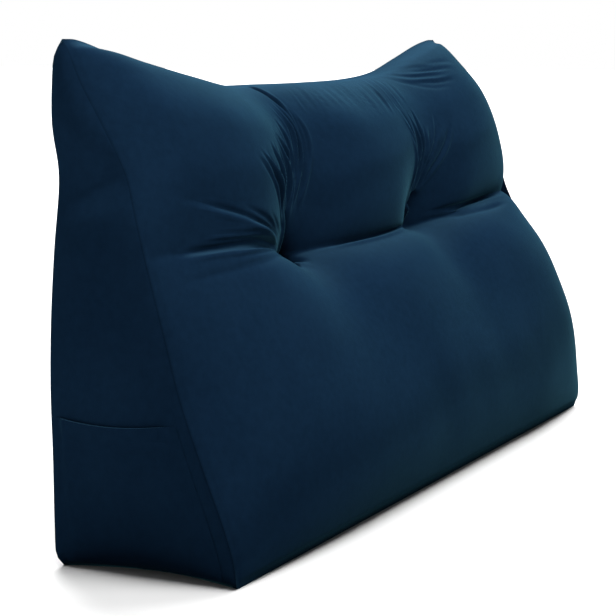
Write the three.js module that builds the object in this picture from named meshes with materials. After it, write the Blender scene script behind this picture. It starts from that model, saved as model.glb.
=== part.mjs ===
/**
 * Bed wedge pillow: a long filled wedge with a sloped, tufted front, two horns
 * at the ends of its ridge, drawn-in triangular ends and a flat cloth pocket on
 * the left end.
 *
 * Units are millimetres. X runs along the length, the sloped front faces -Y, the
 * upright back faces +Y, Z is up, and the origin is the centre of the flat base.
 */
import * as THREE from "three";
import { mergeVertices } from "three/addons/utils/BufferGeometryUtils.js";

const LENGTH = 1000;
const HEIGHT = 500;

/** The length of the sloped front from its base seam to the ridge. */
const SLANT = 540;

/** The outward direction of the sloped front, across and up. */
const LEAN = { y: -0.928, z: 0.371 };

/** How far each horn stands in from the base corner under it. */
const HORN_INSET = 40;

/** Depths of the end's front seam and back edge, at shares of the height. */
const END_SECTIONS = [
  { share: 0.0, front: -101.0, back: 89.0 },
  { share: 0.025, front: -105.5, back: 93.0 },
  { share: 0.06, front: -104.0, back: 93.5 },
  { share: 0.12, front: -94.0, back: 94.0 },
  { share: 0.22, front: -72.5, back: 95.0 },
  { share: 0.34, front: -47.0, back: 97.8 },
  { share: 0.47, front: -25.0, back: 98.5 },
  { share: 0.6, front: -2.0, back: 97.2 },
  { share: 0.69, front: 13.0, back: 96.0 },
  { share: 0.76, front: 27.0, back: 99.0 },
  { share: 0.84, front: 50.5, back: 106.5 },
  { share: 0.92, front: 78.0, back: 109.5 },
  { share: 0.97, front: 92.0, back: 109.0 },
  { share: 1.0, front: 101.5, back: 101.5 },
];

/** How far the ridge hangs below the horns, at shares of the half length. */
const RIDGE_SECTIONS = [
  { share: -1.0, drop: 0.0 },
  { share: -0.95, drop: 0.7 },
  { share: -0.87, drop: 7.5 },
  { share: -0.76, drop: 20.0 },
  { share: -0.6, drop: 35.0 },
  { share: -0.4, drop: 47.5 },
  { share: -0.15, drop: 50.5 },
  { share: 0.1, drop: 51.5 },
  { share: 0.36, drop: 49.0 },
  { share: 0.54, drop: 41.0 },
  { share: 0.7, drop: 24.5 },
  { share: 0.85, drop: 8.0 },
  { share: 0.95, drop: 0.5 },
  { share: 1.0, drop: 0.0 },
];

/**
 * The two tufts: place along the length and up the front, depth and spread of
 * their pits, and how far along the valley over each has moved at the ridge.
 */
const TUFTS = [
  { x: -165, share: 0.62, depth: 36, spread: 30, lean: 30 },
  { x: 178, share: 0.628, depth: 36, spread: 30, lean: 50 },
];

/** The crease between the two rolls: height, notch at the right end, dip beside a tuft. */
const CREASE = { share: 0.596, notch: 8, dip: 8, width: 20 };

/** Crowns of the lower and the upper roll, and how fast they leave their edges. */
const LOWER_ROLL = { crown: 56, ends: 220, bottom: 0.56, top: 0.42, valley: 0.36, width: 70 };
const UPPER_ROLL = { crown: 46, ends: 160, bottom: 0.62, top: 0.36, valley: 0.74, width: 56 };

/** The crown where the crease fades out and the two rolls become one. */
const SINGLE_ROLL = { crown: 47, ends: 190, bottom: 0.32, top: 0.16 };

/** The gentle fullness of the upright back. */
const BACK = { crown: 10, ends: 150, edge: 0.3, waist: 4, waistShare: 0.68 };

/** The triangular ends: fullness, draw-in at the base and the crease across. */
const END = { crown: 12, base: 21, rise: 0.22, crease: 6, creaseFront: 0.755, creaseBack: 0.685 };

/** The cloth pocket on the left end. */
const POCKET = { mouth: 0.294, sag: 0.01, foot: 0.03, side: 0.045, gap: 0.5, thickness: 2, bow: 1.5 };

/** Steps along the length, up the front and across an end. */
const STEPS = { outer: 13, middle: 16, rows: 15, across: 10 };

const smooth = (t) => {
  const u = Math.min(Math.max(t, 0), 1);
  return u * u * (3 - 2 * u);
};

/** A quarter ellipse from 0 at the edge to 1 at the reach and beyond. */
const rise = (t, reach) => {
  const u = 1 - Math.min(Math.max(t / reach, 0), 1);
  return Math.sqrt(1 - u * u);
};

const bell = (t, centre, width) => Math.exp(-(((t - centre) / width) ** 2));

/** A smooth curve through one column of a table of sections. */
function through(rows, column, share) {
  const t = Math.min(Math.max(share, rows[0].share), rows[rows.length - 1].share);
  const next = rows.findIndex((row) => row.share >= t);
  const j = Math.max(next, 1);
  const slope = (k) => {
    const a = rows[Math.max(k - 1, 0)];
    const b = rows[Math.min(k + 1, rows.length - 1)];
    return (b[column] - a[column]) / (b.share - a.share);
  };
  const from = rows[j - 1];
  const to = rows[j];
  const span = to.share - from.share;
  const u = (t - from.share) / span;
  const u2 = u * u;
  const u3 = u2 * u;
  return (
    (2 * u3 - 3 * u2 + 1) * from[column] +
    (u3 - 2 * u2 + u) * span * slope(j - 1) +
    (3 * u2 - 2 * u3) * to[column] +
    (u3 - u2) * span * slope(j)
  );
}

/** Half the length at the end seams, at a share of the height. */
const halfLength = (v) =>
  LENGTH / 2 - HORN_INSET * v ** 2.2 - 4 * bell(v, 0.75, 0.06) - 8 * Math.exp(-v / 0.012);

const ridgeDrop = (s) => through(RIDGE_SECTIONS, "drop", s);

/** How much of a roll is left beside the valleys over and under the tufts. */
const valleys = (x, v, depth, width) =>
  TUFTS.reduce((left, tuft) => {
    const axis = tuft.x + tuft.lean * smooth((v - tuft.share) / 0.33);
    return left - depth * bell(x, axis, width);
  }, 1);

/** Height of the front's rolls over the surface through its seams. */
function crown(x, s, v) {
  const end = ((1 - Math.abs(s)) * LENGTH) / 2;
  const vt = CREASE.share;
  const a = Math.min(v / vt, 1);
  const b = Math.max((v - vt) / (1 - vt), 0);
  const lower =
    LOWER_ROLL.crown *
    rise(end, LOWER_ROLL.ends) *
    rise(a, LOWER_ROLL.bottom) *
    rise(1 - a, LOWER_ROLL.top) *
    valleys(x, v, LOWER_ROLL.valley * smooth((a - 0.1) / 0.9), LOWER_ROLL.width);
  const upper =
    UPPER_ROLL.crown *
    rise(end, UPPER_ROLL.ends) *
    rise(b, UPPER_ROLL.bottom) *
    rise(1 - b, UPPER_ROLL.top) *
    valleys(x, v, UPPER_ROLL.valley - 0.5 * smooth(b), UPPER_ROLL.width);
  const single =
    SINGLE_ROLL.crown *
    rise(end, SINGLE_ROLL.ends) *
    rise(v, SINGLE_ROLL.bottom) *
    rise(1 - v, SINGLE_ROLL.top);
  const fade = 0.55 * smooth((-x - 200) / 160) + 0.22 * bell(x, 0, 90);
  const rolls = v < vt ? lower : upper;
  let height = rolls + (single - rolls) * fade * bell(v, vt, 0.16);
  const away = Math.abs(v - vt) * SLANT;
  height -= CREASE.notch * smooth((x - 190) / 200) * Math.exp(-away / CREASE.width);
  for (const tuft of TUFTS) {
    const dx = x - tuft.x;
    const dq = (v - tuft.share) * SLANT;
    const r = Math.hypot(dx, dq, 4);
    height -= tuft.depth * Math.exp(-((r / tuft.spread) ** 0.9));
    height -= CREASE.dip * Math.exp(-((Math.abs(dx) / 90) ** 1.5) - away / CREASE.width);
  }
  return height * Math.sqrt(Math.min(end / 4, 1)) * Math.min(v / 0.02, 1) * Math.min((1 - v) / 0.02, 1);
}

/** A point of the sloped front: s from -1 to 1 along, v from the base to the ridge. */
function frontPoint(s, v) {
  const x = s * halfLength(v);
  const height = crown(x, s, v);
  const y = through(END_SECTIONS, "front", v) + 6 * (1 - s * s) * (1 - v) ** 4;
  const z = HEIGHT * v - ridgeDrop(s) * v ** 1.9;
  return [x, y + LEAN.y * height, z + LEAN.z * height];
}

/** A point of the upright back, with the same shares as the front. */
function backPoint(s, v) {
  const end = ((1 - Math.abs(s)) * LENGTH) / 2;
  const full =
    BACK.crown * rise(v, BACK.edge) * rise(1 - v, BACK.edge) - BACK.waist * bell(v, BACK.waistShare, 0.1);
  const y = through(END_SECTIONS, "back", v) + rise(end, BACK.ends) * full * Math.min((1 - v) / 0.02, 1);
  return [s * halfLength(v), y, (HEIGHT - ridgeDrop(s)) * v];
}

/** A point of the flat base: t from its front seam to its back edge. */
function basePoint(s, t) {
  const [x, front] = frontPoint(s, 0);
  const back = backPoint(s, 0)[1];
  const drawn = END.base * Math.sin(Math.PI * t) * Math.abs(s) ** 8;
  return [x - Math.sign(s) * drawn, front + (back - front) * t, 0];
}

/** A point of a triangular end: t from its front seam to its back edge. */
function endPoint(side, t, v) {
  const front = frontPoint(side, v);
  const back = backPoint(side, v);
  const arch = Math.sin(Math.PI * t);
  const wide = arch ** 0.8;
  const crease = END.creaseFront + (END.creaseBack - END.creaseFront) * t;
  const out =
    END.crown * wide * rise(v, END.rise) * rise(1 - v, 0.7) -
    END.base * arch * (1 - rise(v, END.rise)) -
    END.crease * wide * bell(v, crease, 0.035) * rise(1 - v, 0.5);
  return [front[0] + side * out, front[1] + (back[1] - front[1]) * t, front[2] + (back[2] - front[2]) * t];
}

/** Steps from 0 to 1 that gather towards both ends. */
function gathered(count) {
  return Array.from({ length: count + 1 }, (_, k) => {
    const t = k / count;
    return 0.45 * t + 0.55 * (0.5 - 0.5 * Math.cos(Math.PI * t));
  });
}

/** Steps along the length, gathered at the ends and at the tufts. */
function stepsAlong() {
  const stops = [-1, ...TUFTS.map((tuft) => tuft.x / 490), 1];
  const counts = [STEPS.outer, STEPS.middle, STEPS.outer];
  const out = [-1];
  counts.forEach((count, k) => {
    for (const t of gathered(count).slice(1)) {
      out.push(stops[k] + (stops[k + 1] - stops[k]) * t);
    }
  });
  return out;
}

/** Steps up the height, gathered at the crease. */
function stepsUp() {
  const vt = CREASE.share;
  const up = gathered(STEPS.rows);
  return [...up.map((t) => vt * t), ...up.slice(1).map((t) => vt + (1 - vt) * t)];
}

/** Triangles over a grid of points, leaving out those that have no area. */
function patch(grid, outward = true) {
  const corners = [];
  const add = (a, b, c) => {
    const ab = new THREE.Vector3(b[0] - a[0], b[1] - a[1], b[2] - a[2]);
    const ac = new THREE.Vector3(c[0] - a[0], c[1] - a[1], c[2] - a[2]);
    if (ab.cross(ac).length() < 1e-6) {
      return;
    }
    corners.push(...(outward ? [...a, ...b, ...c] : [...a, ...c, ...b]));
  };
  for (let i = 0; i + 1 < grid.length; i += 1) {
    for (let j = 0; j + 1 < grid[i].length; j += 1) {
      const [a, b, c, d] = [grid[i][j], grid[i + 1][j], grid[i + 1][j + 1], grid[i][j + 1]];
      add(a, b, c);
      add(a, c, d);
    }
  }
  return corners;
}

/** A closed, named mesh from the triangles of its patches. */
function solid(name, patches, material) {
  const geometry = new THREE.BufferGeometry();
  geometry.setAttribute("position", new THREE.Float32BufferAttribute(patches.flat(), 3));
  const welded = mergeVertices(geometry, 1e-3);
  welded.computeVertexNormals();
  const mesh = new THREE.Mesh(welded, material);
  mesh.name = name;
  return mesh;
}

function cushion(material) {
  const along = stepsAlong();
  const across = Array.from({ length: STEPS.across + 1 }, (_, k) => k / STEPS.across);
  const end = (side) => across.map((t) => stepsUp().map((v) => endPoint(side, t, v)));
  return solid(
    "cushion",
    [
      patch(along.map((s) => stepsUp().map((v) => frontPoint(s, v)))),
      patch(along.map((s) => stepsUp().map((v) => backPoint(s, v))), false),
      patch(along.map((s) => across.map((t) => basePoint(s, t))), false),
      patch(end(-1), false),
      patch(end(1)),
    ],
    material,
  );
}

/** The pocket: a sheet that lies shut against the left end, its mouth at the top. */
function pocket(material) {
  const inner = Array.from({ length: STEPS.across - 1 }, (_, k) => (k + 1) / STEPS.across);
  const across = [POCKET.side, ...inner, 1 - POCKET.side];
  const mouth = (t) => POCKET.mouth - POCKET.sag * Math.sin(Math.PI * t);
  const rows = stepsUp().filter((v) => v > POCKET.foot + 0.01 && v < POCKET.mouth - POCKET.sag - 0.01);
  const sheet = (lift) =>
    across.map((t) =>
      [POCKET.foot, ...rows, mouth(t)].map((v) => {
        const [x, y, z] = endPoint(-1, t, v);
        const open = POCKET.bow * Math.sin(Math.PI * t) * smooth((v - 0.2) / (POCKET.mouth - 0.2));
        return [x - lift - open, y, z];
      }),
    );
  const near = sheet(POCKET.gap);
  const far = sheet(POCKET.gap + POCKET.thickness);
  const last = across.length - 1;
  const top = near[0].length - 1;
  return solid(
    "pocket",
    [
      patch(far, false),
      patch(near),
      patch([far[0], near[0]]),
      patch([near[last], far[last]]),
      patch([near.map((column) => column[0]), far.map((column) => column[0])]),
      patch([far.map((column) => column[top]), near.map((column) => column[top])]),
    ],
    material,
  );
}

const cover = new THREE.MeshStandardMaterial({ name: "cover", color: 0x1c3249, roughness: 0.9 });
const patchCloth = new THREE.MeshStandardMaterial({ name: "pocket_cloth", color: 0x16283c, roughness: 0.9 });

const part = new THREE.Group();
part.name = "bed_wedge_pillow";
part.add(cushion(cover), pocket(patchCloth));

export default part;
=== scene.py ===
"""Bed wedge pillow: a long filled wedge in dark velvet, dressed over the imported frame.

Everything is in metres, in the frame's own axes: X along the length, the sloped
tufted front faces -Y, the upright back faces +Y, and Z is up from the flat base.
"""

import logging
import math
from collections.abc import Callable
from dataclasses import dataclass
from enum import Enum
from functools import partial

import bpy
import numpy as np
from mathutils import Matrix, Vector


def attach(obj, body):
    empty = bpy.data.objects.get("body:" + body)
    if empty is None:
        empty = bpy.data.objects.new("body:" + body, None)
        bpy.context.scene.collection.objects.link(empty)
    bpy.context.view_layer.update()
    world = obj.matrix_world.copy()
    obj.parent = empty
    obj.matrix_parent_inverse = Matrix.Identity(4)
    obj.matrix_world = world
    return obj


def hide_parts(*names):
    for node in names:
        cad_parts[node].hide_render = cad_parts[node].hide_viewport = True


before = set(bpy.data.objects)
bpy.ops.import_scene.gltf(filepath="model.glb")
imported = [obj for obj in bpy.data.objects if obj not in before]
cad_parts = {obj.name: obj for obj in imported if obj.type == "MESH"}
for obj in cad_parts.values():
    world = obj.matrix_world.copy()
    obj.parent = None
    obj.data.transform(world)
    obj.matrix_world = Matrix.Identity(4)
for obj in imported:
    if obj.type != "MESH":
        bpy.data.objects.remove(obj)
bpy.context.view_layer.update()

log = logging.getLogger("wedge_pillow")

Array = np.ndarray
Rgb = tuple[float, float, float]
Pair = tuple[float, float]
Socket = bpy.types.NodeSocket


def ease(t: Array | float) -> Array:
    """Go smoothly from 0 to 1.

    Args:
        t: the share of the way, clipped to 0 and 1.

    Returns:
        The eased share.
    """
    t = np.clip(t, 0.0, 1.0)
    return t * t * (3.0 - 2.0 * t)


def rise(t: Array | float, reach: float) -> Array:
    """Follow a quarter ellipse from 0 at an edge to 1 at its reach and beyond.

    Args:
        t: distance from the edge.
        reach: distance at which the curve is level.

    Returns:
        The height of the curve.
    """
    u = 1.0 - np.clip(t / reach, 0.0, 1.0)
    return np.sqrt(1.0 - u * u)


def bell(t: Array | float, centre: Array | float, width: float) -> Array:
    """Give a bell of height 1.

    Args:
        t: where it is read.
        centre: where it is highest.
        width: distance at which it has dropped to 0.37.

    Returns:
        The height of the bell.
    """
    return np.exp(-(((t - centre) / width) ** 2))


def through(table: Array, column: int, at: Array) -> Array:
    """Run a smooth curve through one column of a table.

    Args:
        table: rows of sections, the first column being the share where each lies.
        column: which value to follow.
        at: shares at which the curve is read.

    Returns:
        The values there.
    """
    keys = table[:, 0]
    values = table[:, column]
    slopes = np.empty_like(values)
    slopes[1:-1] = (values[2:] - values[:-2]) / (keys[2:] - keys[:-2])
    slopes[0] = (values[1] - values[0]) / (keys[1] - keys[0])
    slopes[-1] = (values[-1] - values[-2]) / (keys[-1] - keys[-2])
    at = np.clip(at, keys[0], keys[-1])
    i = np.clip(np.searchsorted(keys, at, side="right") - 1, 0, len(keys) - 2)
    span = keys[i + 1] - keys[i]
    u = (at - keys[i]) / span
    u2 = u * u
    u3 = u2 * u
    return (
        (2 * u3 - 3 * u2 + 1) * values[i]
        + (u3 - 2 * u2 + u) * span * slopes[i]
        + (3 * u2 - 2 * u3) * values[i + 1]
        + (u3 - u2) * span * slopes[i + 1]
    )


# Share of the height, depth of the end's front seam, depth of its back edge.
END_SECTIONS = np.array(
    [
        (0.000, -0.1000, 0.0890),
        (0.025, -0.1015, 0.0930),
        (0.060, -0.0990, 0.0935),
        (0.120, -0.0890, 0.0940),
        (0.220, -0.0682, 0.0950),
        (0.340, -0.0440, 0.0978),
        (0.470, -0.0235, 0.0985),
        (0.600, -0.0020, 0.0972),
        (0.690, 0.0130, 0.0960),
        (0.760, 0.0270, 0.0990),
        (0.840, 0.0505, 0.1065),
        (0.920, 0.0780, 0.1095),
        (0.970, 0.0920, 0.1090),
        (1.000, 0.1015, 0.1015),
    ]
)

# Share of the half length, drop of the ridge below the horns.
RIDGE_SECTIONS = np.array(
    [
        (-1.00, 0.0000),
        (-0.95, 0.0007),
        (-0.87, 0.0080),
        (-0.76, 0.0214),
        (-0.60, 0.0368),
        (-0.40, 0.0486),
        (-0.15, 0.0500),
        (0.10, 0.0501),
        (0.36, 0.0480),
        (0.54, 0.0410),
        (0.70, 0.0245),
        (0.85, 0.0080),
        (0.95, 0.0005),
        (1.00, 0.0000),
    ]
)


@dataclass(frozen=True)
class Ramp:
    """A smooth way from 0 to 1.

    Args:
        start: where it starts.
        over: how long it is.
    """

    start: float
    over: float

    def at(self, t: Array) -> Array:
        """The share of the way, at places along it."""
        return ease((t - self.start) / self.over)


@dataclass(frozen=True)
class Swell:
    """A soft swell that runs along a panel, or a hollow where its height is negative.

    Args:
        height: its height.
        share: where it lies, as a share of the wedge's height.
        spread: how far it reaches, as the same share.
    """

    height: float
    share: float
    spread: float

    def at(self, v: Array) -> Array:
        """Its height, at shares of the wedge's height."""
        return self.height * bell(v, self.share, self.spread)


@dataclass(frozen=True)
class Tuft:
    """A point where the front is drawn in.

    Args:
        x: place along the length.
        share: place up the front, as a share of the height.
        depth: depth of the pit.
        spread: how far the pit reaches.
        lean: how far along the valley over it has moved at the ridge.
        fade: share of that valley that is lost on the way up.
        climb: share of the height over which the valley leans.
        fading: share of the height over which the valley is lost.
        tip: radius of the pit's blunt tip.
        cone: how rounded the pit's sides are, 2 for a bell and less for a cone.
        tuck: how much deeper the crease line is beside it.
        tuck_reach: how far along the line that goes.
        tuck_curve: how suddenly it stops there.
        tuck_width: how far it spreads up and down.
    """

    x: float
    share: float
    depth: float
    spread: float
    lean: float
    fade: float = 0.0
    climb: float = 0.33
    fading: float = 0.20
    tip: float = 0.004
    cone: float = 0.9
    tuck: float = 0.006
    tuck_reach: float = 0.09
    tuck_curve: float = 1.5
    tuck_width: float = 0.015

    def axis(self, v: Array) -> Array:
        """Where its valley runs along the length, at shares of the height."""
        return self.x + self.lean * ease((v - self.share) / self.climb)

    def kept(self, v: Array) -> Array:
        """The share of its valley that is left, at shares of the height."""
        return 1.0 - self.fade * ease((v - self.share) / self.fading)

    def drawn(self, x: Array, v: Array, away: Array, slant: float) -> Array:
        """How far the front is drawn in, at the tuft and along the crease line beside it.

        Args:
            x: place along the length.
            v: share of the height.
            away: distance from the crease line.
            slant: length of the slope.

        Returns:
            The depth.
        """
        dx = x - self.x
        dq = (v - self.share) * slant
        r = np.sqrt(dx * dx + dq * dq + self.tip**2)
        pit = self.depth * np.exp(-((r / self.spread) ** self.cone))
        beside = np.exp(-((np.abs(dx) / self.tuck_reach) ** self.tuck_curve))
        return pit + self.tuck * beside * np.exp(-away / self.tuck_width)


@dataclass(frozen=True)
class Roll:
    """One of the filled rolls of the front.

    Args:
        crown: its height over the seams.
        ends: how far from the end seams it is level.
        bottom: how fast it leaves its lower edge, as a share of its own height.
        top: how fast it leaves its upper edge.
        valley: how much of it is lost beside a tuft.
        width: the half width of that valley.
    """

    crown: float
    ends: float
    bottom: float
    top: float
    valley: float = 0.0
    width: float = 0.06

    def form(self, end: Array, low: Array, high: Array, broad: Array, power: Array) -> Array:
        """Height of the roll over the surface through its seams.

        Args:
            end: distance from the end seam.
            low: distance from its lower edge, as a share of its own height.
            high: distance from its upper edge, as the same share.
            broad: how much further than usual it slopes down to the end seam.
            power: how hollow it is there.

        Returns:
            The height.
        """
        sides = rise(end, self.ends * broad) ** power
        return self.crown * sides * rise(low, self.bottom) * rise(high, self.top)


@dataclass(frozen=True)
class BackPanel:
    """How the upright back stands out from its seams.

    Args:
        crown: how far it stands out.
        edge: share of the height over which it does, from the base and from the ridge.
        ends: distance from the end seams over which it does.
        hollow: the soft hollow across its upper part.
    """

    crown: float = 0.010
    edge: float = 0.3
    ends: float = 0.15
    hollow: Swell = Swell(-0.004, 0.68, 0.1)

    def out(self, end: Array, v: Array) -> Array:
        """How far it stands out, at distances from the end seam and shares of the height."""
        full = self.crown * rise(v, self.edge) * rise(1 - v, self.edge) + self.hollow.at(v)
        return rise(end, self.ends) * full


@dataclass(frozen=True)
class EndPanel:
    """How a triangular end stands out from its seams.

    Args:
        crown: how far it stands out.
        foot: share of the height over which it does, from the base.
        top: share of the height over which it does, from the horn.
        curve: how flat it is across, smaller for flatter.
        hollow: how far it is drawn in at the base.
        nip: depth of the fold under the horn.
        nip_share: where that fold starts at the front seam, as a share of the height.
        nip_slope: how far it falls on its way to the back edge.
        nip_spread: how far it reaches up and down.
        nip_top: share of the height over which it fades towards the horn.
    """

    crown: float = 0.012
    foot: float = 0.22
    top: float = 0.7
    curve: float = 0.8
    hollow: float = 0.021
    nip: float = 0.006
    nip_share: float = 0.755
    nip_slope: float = 0.07
    nip_spread: float = 0.035
    nip_top: float = 0.5

    def out(self, t: Array, v: Array) -> Array:
        """How far it stands out.

        Args:
            t: share of the way from its front seam to its back edge.
            v: share of the height.

        Returns:
            The distance, outward along the length.
        """
        arch = np.sin(np.pi * t)
        foot = rise(v, self.foot)
        full = self.crown * foot * rise(1 - v, self.top)
        fold = bell(v, self.nip_share - self.nip_slope * t, self.nip_spread)
        fold = self.nip * fold * rise(1 - v, self.nip_top)
        return arch**self.curve * (full - fold) - self.hollow * arch * (1 - foot)


@dataclass(frozen=True)
class Wedge:
    """The wedge's outer form: that of the frame's solid, brought closer to the real one.

    Args:
        length: length between its end seams.
        height: height of its horns.
        slant: length of the front's slope.
        horn_inset: how much each end seam leans in on its way up to the horn.
        horn_curve: how late on the way up it does.
        waist: how much each end seam is drawn in under the horn.
        foot_inset: how much each end seam is drawn in at the base.
        foot_fade: share of the height over which that is lost.
        hang_curve: how late on the way up the front follows the hanging ridge.
        outward: the way in which the front's rolls stand out, in Y and Z.
        crease: where the line between the two rolls lies, as a share of the height.
        dip: how much lower that line lies at the middle.
        dip_reach: how far along it does.
        notch: how much deeper it is towards the right end.
        notch_ramp: where along the length that comes in.
        notch_width: how far it spreads up and down.
        groove: radius of the line's groove, as a share of the height.
        blend: share of the height over which one roll goes over into the other.
        lower: the roll under the line.
        upper: the roll over the line.
        single: the one roll that both become near the left end.
        power: how hollow the rolls are towards the end seams.
        uneven: how much more so on the left, and how much less so on the right.
        broad: how much further the rolls slope down on the left.
        valley_ramp: where up the lower roll the valleys under the tufts come in.
        valley_loss: how much of the valleys over the tufts is lost up to the ridge.
        right: where along the length the right part's own shape comes in.
        right_lower: its swells on the lower roll.
        right_upper: its swell on the upper roll.
        right_slack: share of the upper roll that it loses.
        right_nip: how much it is drawn in where the line meets its seam.
        nip_curve: how near to the seam that stays.
        left: where along the length, leftwards, both rolls become one.
        left_plain: how far they do.
        middle_plain: how far they do between the tufts.
        middle_reach: how far along that goes.
        plain_reach: how far up and down both go, as a share of the height.
        pinch: the fine hollow beside each end seam, by the distance from it.
        seam_edge: distance from an end seam over which the rolls start.
        seam_share: share of the height over which they start at the base and the ridge.
        base_curve: how near to the ends the base is drawn in.
        back_panel: the form of the back.
        end_panel: the form of both ends.
        tufts: the points where the front is drawn in.
    """

    length: float = 1.000
    height: float = 0.500
    slant: float = 0.540
    horn_inset: float = 0.040
    horn_curve: float = 2.2
    waist: Swell = Swell(0.004, 0.75, 0.06)
    foot_inset: float = 0.008
    foot_fade: float = 0.012
    hang_curve: float = 1.9
    outward: Pair = (-0.928, 0.371)
    crease: float = 0.596
    dip: float = 0.014
    dip_reach: float = 0.26
    notch: float = 0.009
    notch_ramp: Ramp = Ramp(0.19, 0.20)
    notch_width: float = 0.012
    groove: float = 0.008
    blend: float = 0.018
    lower: Roll = Roll(0.058, 0.22, 0.72, 0.40, 0.36, 0.080)
    upper: Roll = Roll(0.055, 0.16, 0.70, 0.42, 0.74, 0.080)
    single: Roll = Roll(0.047, 0.19, 0.32, 0.16)
    power: float = 1.25
    uneven: float = 0.35
    broad: float = 0.35
    valley_ramp: Ramp = Ramp(0.35, 0.65)
    valley_loss: float = 0.50
    right: Ramp = Ramp(0.25, 0.20)
    right_lower: tuple[Swell, ...] = (
        Swell(0.011, 0.27, 0.15),
        Swell(-0.004, 0.09, 0.08),
        Swell(-0.006, 0.53, 0.07),
    )
    right_upper: Swell = Swell(-0.005, 0.69, 0.12)
    right_slack: float = 0.06
    right_nip: Swell = Swell(0.009, 0.61, 0.05)
    nip_curve: int = 6
    left: Ramp = Ramp(0.20, 0.16)
    left_plain: float = 0.55
    middle_plain: float = 0.06
    middle_reach: float = 0.09
    plain_reach: float = 0.16
    pinch: Swell = Swell(0.0010, 0.0040, 0.0026)
    seam_edge: float = 0.003
    seam_share: float = 0.02
    base_curve: int = 8
    back_panel: BackPanel = BackPanel()
    end_panel: EndPanel = EndPanel()
    tufts: tuple[Tuft, ...] = (
        Tuft(-0.171, 0.590, 0.036, 0.030, 0.042),
        Tuft(0.164, 0.612, 0.036, 0.030, 0.056, 0.62),
    )

    def half_length(self, v: Array) -> Array:
        """Half the length at the end seams, at shares of the height."""
        inset = self.horn_inset * v**self.horn_curve + self.waist.at(v)
        return self.length / 2 - inset - self.foot_inset * np.exp(-v / self.foot_fade)

    def from_end(self, s: Array) -> Array:
        """Distance from the nearer end seam, at shares of the half length."""
        return (1 - np.abs(s)) * self.length / 2

    def crease_share(self, x: Array) -> Array:
        """Where the line between the rolls lies, as a share of the height."""
        return self.crease - self.dip * bell(x, 0.0, self.dip_reach)

    def valleys(self, x: Array, v: Array, depth: Array, width: float) -> Array:
        """How much of a roll is left beside the valleys over and under the tufts.

        Args:
            x: place along the length.
            v: share of the height.
            depth: share of the roll that a valley takes.
            width: half width of a valley.

        Returns:
            The share of the roll that is left.
        """
        left = 1.0 + 0.0 * x
        for tuft in self.tufts:
            left = left - depth * tuft.kept(v) * bell(x, tuft.axis(v), width)
        return left

    def crown(self, x: Array, s: Array, v: Array) -> Array:
        """Height of the front's rolls over the surface through its seams.

        Args:
            x: place along the length.
            s: the same as a share of the half length.
            v: share of the height.

        Returns:
            The height, outward from the slope.
        """
        end = self.from_end(s)
        line = self.crease_share(x)
        a = np.clip(v / line, 0, 1)
        b = np.clip((v - line) / (1 - line), 0, 1)
        below = np.hypot(1 - a, self.groove / line)
        above = np.hypot(b, self.groove / (1 - line))
        power = self.power - self.uneven * np.sign(s)
        broad = 1.0 + self.broad * (s < 0)
        far = self.right.at(x)

        lower = self.lower.form(end, a, below, broad, power)
        lower = lower * self.valleys(x, v, self.lower.valley * self.valley_ramp.at(a), self.lower.width)
        lower = lower + far * sum(swell.at(v) for swell in self.right_lower)
        upper = self.upper.form(end, above, 1 - b, broad, power)
        loss = self.valley_loss * ease(b)
        upper = upper * self.valleys(x, v, self.upper.valley - loss, self.upper.width)
        upper = upper * (1 - self.right_slack * far) + far * self.right_upper.at(v)
        rolls = lower + (upper - lower) * ease((v - line) / self.blend + 0.5)

        single = self.single.form(end, v, 1 - v, broad, power)
        plain = self.left_plain * self.left.at(-x) + self.middle_plain * bell(x, 0.0, self.middle_reach)
        height = rolls + (single - rolls) * plain * bell(v, line, self.plain_reach)
        away = np.abs(v - line) * self.slant
        height = height - self.notch * self.notch_ramp.at(x) * np.exp(-away / self.notch_width)
        for tuft in self.tufts:
            height = height - tuft.drawn(x, v, away, self.slant)
        height = height - self.pinch.at(end)
        base = np.clip(v / self.seam_share, 0, 1)
        return height * np.clip(end / self.seam_edge, 0, 1) * base * self.to_ridge(v)

    def to_ridge(self, v: Array) -> Array:
        """The way from 0 at the ridge to 1 a little under it, at shares of the height."""
        return np.clip((1 - v) / self.seam_share, 0, 1)

    def front(self, s: Array, v: Array) -> Array:
        """Points of the sloped front.

        Args:
            s: shares of the half length, from -1 at the left end to 1 at the right.
            v: shares of the height.

        Returns:
            The points.
        """
        s, v = np.broadcast_arrays(np.asarray(s, float), np.asarray(v, float))
        x = s * self.half_length(v) - np.clip(s, 0, 1) ** self.nip_curve * self.right_nip.at(v)
        h = self.crown(x, s, v)
        y = through(END_SECTIONS, 1, v)
        z = self.height * v - through(RIDGE_SECTIONS, 1, s) * v**self.hang_curve
        return np.stack([x, y + self.outward[0] * h, z + self.outward[1] * h], -1)

    def back(self, s: Array, v: Array) -> Array:
        """Points of the upright back.

        Args:
            s: shares of the half length, as on the front.
            v: shares of the height.

        Returns:
            The points.
        """
        s, v = np.broadcast_arrays(np.asarray(s, float), np.asarray(v, float))
        out = self.back_panel.out(self.from_end(s), v)
        y = through(END_SECTIONS, 2, v) + out * self.to_ridge(v)
        z = (self.height - through(RIDGE_SECTIONS, 1, s)) * v
        return np.stack([s * self.half_length(v), y, z], -1)

    def base(self, s: Array, t: Array) -> Array:
        """Points of the flat base.

        Args:
            s: shares of the half length, as on the front.
            t: shares of the way from its front seam to its back edge.

        Returns:
            The points.
        """
        s, t = np.broadcast_arrays(np.asarray(s, float), np.asarray(t, float))
        a = self.front(s, np.zeros_like(s))
        b = self.back(s, np.zeros_like(s))
        p = a + (b - a) * t[..., None]
        hollow = self.end_panel.hollow * np.sin(np.pi * t)
        p[..., 0] -= np.sign(s) * hollow * np.abs(s) ** self.base_curve
        p[..., 2] = 0.0
        return p

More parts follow.
